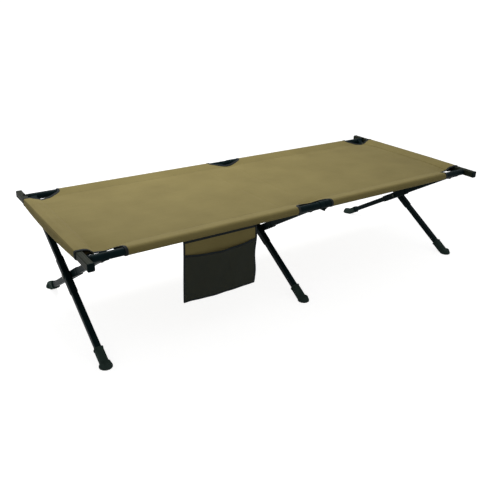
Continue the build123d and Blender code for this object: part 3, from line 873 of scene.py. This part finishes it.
def flecks(tree, coords, size, detail=2):
    """Noise with flecks of a given size in metres."""
    return add_node(tree, "TexNoise", {"Vector": coords, "Scale": 1 / size, "Detail": detail}).outputs["Fac"]


def two_tones(tree, value, dark, light, ends=(0, 1)):
    """A colour that runs from dark to light between two ends of a value."""
    ramp = add_node(tree, "ValToRGB", {"Fac": value})
    for element, end, code in zip(ramp.color_ramp.elements, ends, (dark, light)):
        element.position = end
        element.color = colour(code)
    return ramp.outputs["Color"]


def relief(tree, height, strength, depth):
    return add_node(tree, "Bump", {"Height": height, "Strength": strength, "Distance": depth}).outputs[0]


def plain_weave(tree, coords, spacing):
    """Height of crossing threads, from -1 to 1, at a thread spacing in metres."""
    split = add_node(tree, "SeparateXYZ", {"Vector": coords})
    waves = []
    for axis in ("X", "Y"):
        turn = add_node(tree, "Math", {0: split.outputs[axis], 1: math.pi / spacing}, operation="MULTIPLY")
        waves.append(add_node(tree, "Math", {0: turn.outputs[0]}, operation="SINE").outputs[0])
    return add_node(tree, "Math", {0: waves[0], 1: waves[1]}, operation="MULTIPLY").outputs[0]


def canvas_material():
    """Coated polyester canvas, plain woven: matt khaki with a thread grain and faint slubs."""
    material, tree, shader = new_material("polyester_canvas")
    coords = add_node(tree, "Attribute", attribute_name="weave").outputs["Vector"]
    weave = plain_weave(tree, coords, 1.6 * MM)
    stretched = add_node(tree, "Mapping", {"Vector": coords, "Scale": (4, 260, 1)}).outputs[0]
    slubs = flecks(tree, stretched, 1.0, 3)
    clouds = flecks(tree, coords, 180 * MM)
    tone = add_node(tree, "Math", {0: slubs, 1: 0.5, 2: clouds}, operation="MULTIPLY_ADD").outputs[0]
    shade = two_tones(tree, tone, "#7f7346", "#8b7f4f", (0.45, 1))
    threads = add_node(tree, "MapRange", {"Value": weave, "From Min": -1, "To Min": 0.94, "To Max": 1.06})
    tinted = add_node(tree, "Mix", {0: 1.0, 6: shade, 7: threads.outputs[0]},
                      data_type="RGBA", blend_type="MULTIPLY")
    height = add_node(tree, "Math", {0: slubs, 1: 0.6, 2: weave}, operation="MULTIPLY_ADD").outputs[0]
    feed(tree, shader, {
        "Base Color": tinted.outputs[2],
        "Normal": relief(tree, height, 0.25, 0.25 * MM),
        "Roughness": 0.82,
        "Specular IOR Level": 0.12,
        "Sheen Weight": 0.04,
        "Sheen Roughness": 0.5,
    })
    return material


def tape_material():
    """Black polyester grosgrain binding: fine ribs and a soft dark sheen."""
    material, tree, shader = new_material("grosgrain_tape")
    coords = add_node(tree, "Attribute", attribute_name="weave").outputs["Vector"]
    feed(tree, shader, {
        "Base Color": two_tones(tree, flecks(tree, coords, 30 * MM), "#0b1113", "#151c1d"),
        "Normal": relief(tree, plain_weave(tree, coords, 1.4 * MM), 0.4, 0.3 * MM),
        "Roughness": 0.75,
        "Specular IOR Level": 0.2,
    })
    return material


def thread_material(name, dark, light):
    """Bonded sewing thread: twisted, so its tone changes along each stitch."""
    material, tree, shader = new_material(name)
    coords = add_node(tree, "TexCoord").outputs["Object"]
    twist = flecks(tree, coords, 2 * MM)
    feed(tree, shader, {"Base Color": two_tones(tree, twist, dark, light), "Roughness": 0.6})
    return material


def net_material():
    """Knitted polyester net: dull dark green-grey yarn."""
    material, tree, shader = new_material("knitted_net")
    coords = add_node(tree, "Attribute", attribute_name="weave").outputs["Vector"]
    yarn = flecks(tree, coords, 1.2 * MM)
    feed(tree, shader, {
        "Base Color": two_tones(tree, yarn, "#252a26", "#3b413a"),
        "Normal": relief(tree, yarn, 0.5, 0.2 * MM),
        "Roughness": 0.85,
        "Specular IOR Level": 0.25,
    })
    return material


def grained(name, dark, light, roughness, grain, depth, specular, metallic=0.0):
    """A moulded or painted surface: a fine grain at its real size, with tone and gloss that drift."""
    material, tree, shader = new_material(name)
    coords = add_node(tree, "TexCoord").outputs["Object"]
    broad = flecks(tree, coords, 40 * MM, 4)
    gloss = {"Value": broad, "To Min": roughness - 0.06, "To Max": roughness + 0.06}
    feed(tree, shader, {
        "Base Color": two_tones(tree, broad, dark, light, (0.35, 0.7)),
        "Normal": relief(tree, flecks(tree, coords, grain, 3), 0.35, depth),
        "Roughness": add_node(tree, "MapRange", gloss).outputs[0],
        "Specular IOR Level": specular,
        "Metallic": metallic,
    })
    return material


def bar_material():
    """Extruded aluminium, dark bronze anodised: die lines along its length and a dull metal sheen."""
    material, tree, shader = new_material("bronze_anodised_aluminium")
    coords = add_node(tree, "TexCoord").outputs["Object"]
    drawn = add_node(tree, "Mapping", {"Vector": coords, "Scale": (1, 0.004, 1)}).outputs[0]
    lines = flecks(tree, drawn, 0.8 * MM, 3)
    feed(tree, shader, {
        "Base Color": two_tones(tree, lines, "#191d14", "#262a1f"),
        "Normal": relief(tree, lines, 0.3, 0.1 * MM),
        "Metallic": 0.25,
        "Roughness": 0.5,
        "Specular IOR Level": 0.04,
    })
    return material


def dress_frame(nodes):
    """Gives every CAD node that stays in view its finish."""
    paint = grained("black_powder_coat", "#08181a", "#102123", 0.45, 1.1 * MM, 0.12 * MM, specular=0.03)
    zinc = grained("black_zinc_steel", "#20241f", "#30342d", 0.4, 0.6 * MM, 0.05 * MM,
                   specular=0.1, metallic=0.6)
    nylon = grained("moulded_black_nylon", "#081416", "#0e1b1c", 0.5, 0.7 * MM, 0.08 * MM, specular=0.03)
    rubber = grained("black_foot_rubber", "#2a3833", "#374541", 0.75, 0.9 * MM, 0.1 * MM, specular=0.05)
    bronze = bar_material()
    finishes = [
        (("_end_bar_caps", "_rail_cap_", "_collar_"), nylon),
        (("_leg_foot_",), rubber),
        (("_pin", "_rivets", "crossing_"), zinc),
        (("left_end_bar", "right_end_bar"), bronze),
    ]
    for name, node in nodes.items():
        finish = next((made for words, made in finishes if any(word in name for word in words)), paint)
        node.data.materials.clear()
        node.data.materials.append(finish)


# Camera, lights and floor

def camera():
    azimuth, elevation, roll = map(math.radians, (CAMERA_AZIMUTH, CAMERA_ELEVATION, CAMERA_ROLL))
    back = Vector((
        math.sin(azimuth) * math.cos(elevation),
        -math.cos(azimuth) * math.cos(elevation),
        math.sin(elevation),
    ))
    level = Vector((math.cos(azimuth), math.sin(azimuth), 0))
    upright = back.cross(level)
    right = level * math.cos(roll) + upright * math.sin(roll)
    up = upright * math.cos(roll) - level * math.sin(roll)
    data = bpy.data.cameras.new("camera")
    data.sensor_width = SENSOR
    data.lens = FOCAL_PIXELS / FRAME_PIXELS * SENSOR
    eye = bpy.data.objects.new("camera", data)
    eye.matrix_world = Matrix.Translation(CAMERA_PLACE) @ Matrix((right, up, back)).transposed().to_4x4()
    bpy.context.scene.collection.objects.link(eye)
    bpy.context.scene.camera = eye


def softbox(name, place, aim, size, watts):
    data = bpy.data.lights.new(name, "AREA")
    data.shape = "RECTANGLE"
    data.size, data.size_y = size
    data.energy = watts
    lamp = bpy.data.objects.new(name, data)
    lamp.location = place
    lamp.rotation_euler = (Vector(aim) - Vector(place)).to_track_quat("-Z", "Y").to_euler()
    bpy.context.scene.collection.objects.link(lamp)


def white_to_the_eye(tree):
    """1 where the eye, a reflection or clear glass sees a surface, 0 where it only lights the object."""
    path = add_node(tree, "LightPath")
    seen = path.outputs["Is Camera Ray"]
    for ray in ("Is Glossy Ray", "Is Transmission Ray"):
        seen = add_node(tree, "Math", {0: seen, 1: path.outputs[ray]}, operation="MAXIMUM").outputs[0]
    return seen


def studio():
    bpy.context.scene.view_settings.view_transform = "Standard"
    world = bpy.data.worlds.new("studio")
    bpy.context.scene.world = world
    world.use_nodes = True
    tree = world.node_tree
    tree.nodes.clear()
    dim = add_node(tree, "Background", {"Color": WHITE, "Strength": WORLD_LIGHT})
    white = add_node(tree, "Background", {"Color": WHITE, "Strength": 1.0})
    seen = white_to_the_eye(tree)
    mixed = add_node(tree, "MixShader", {0: seen, 1: dim.outputs[0], 2: white.outputs[0]})
    add_node(tree, "OutputWorld", {"Surface": mixed.outputs[0]})
    softbox("key", KEY_PLACE, KEY_AIM, KEY_SIZE, KEY_WATTS)


def floor():
    deselect()
    bpy.ops.mesh.primitive_plane_add(size=2 * FLOOR_HALF)
    ground = bpy.context.active_object
    ground.name = "floor"
    material, tree, shader = new_material("pale_floor")
    feed(tree, shader, {"Base Color": (FLOOR_GREY, FLOOR_GREY, FLOOR_GREY, 1), "Roughness": 0.9})
    glow = add_node(tree, "Emission", {"Color": WHITE, "Strength": FLOOR_GLOW})
    lit = add_node(tree, "AddShader", {0: shader.outputs[0], 1: glow.outputs[0]})
    seen = white_to_the_eye(tree)
    mixed = add_node(tree, "MixShader", {0: seen, 1: shader.outputs[0], 2: lit.outputs[0]})
    tree.links.new(mixed.outputs[0], tree.nodes["Material Output"].inputs["Surface"])
    ground.data.materials.append(material)


# Assembly

def finish_piece(piece, material):
    piece.data.materials.clear()
    piece.data.materials.append(material)


def dress_bed():
    dressed, areas = canvas_bed()
    canvas, black = canvas_material(), tape_material()
    khaki_thread = thread_material("khaki_thread", "#7a6f48", "#8d8258")
    black_thread = thread_material("black_thread", "#0f1415", "#202728")
    slots = ("canvas", "binding", "binding", "canvas")
    finishes = (canvas, black, black_thread, khaki_thread)
    for part, pieces in dressed.items():
        for piece, material, slot in zip(pieces, finishes, slots):
            finish_piece(piece, material)
            if part == "panel":
                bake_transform(piece)
            else:
                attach(piece, f"{part}_end_bar")
                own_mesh(piece)
    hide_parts("bed_canvas")
    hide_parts("canvas_bindings")
    return canvas, black, black_thread


def dress_pocket(canvas, black, black_thread):
    back, net, edges, mouth, thread, areas = pocket()
    for piece, material, slot in (
        (back, canvas, "canvas"),
        (net, net_material(), "mesh"),
        (edges, black, "binding"),
        (mouth, black, "binding"),
        (thread, black_thread, "binding"),
    ):
        finish_piece(piece, material)
        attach(piece, "pocket")
    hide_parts("pocket_panel")
    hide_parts("pocket_mesh")
    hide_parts("pocket_binding")
    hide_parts("pocket_elastic")


camera()
studio()
floor()
dress_frame(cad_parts)
dress_pocket(*dress_bed())
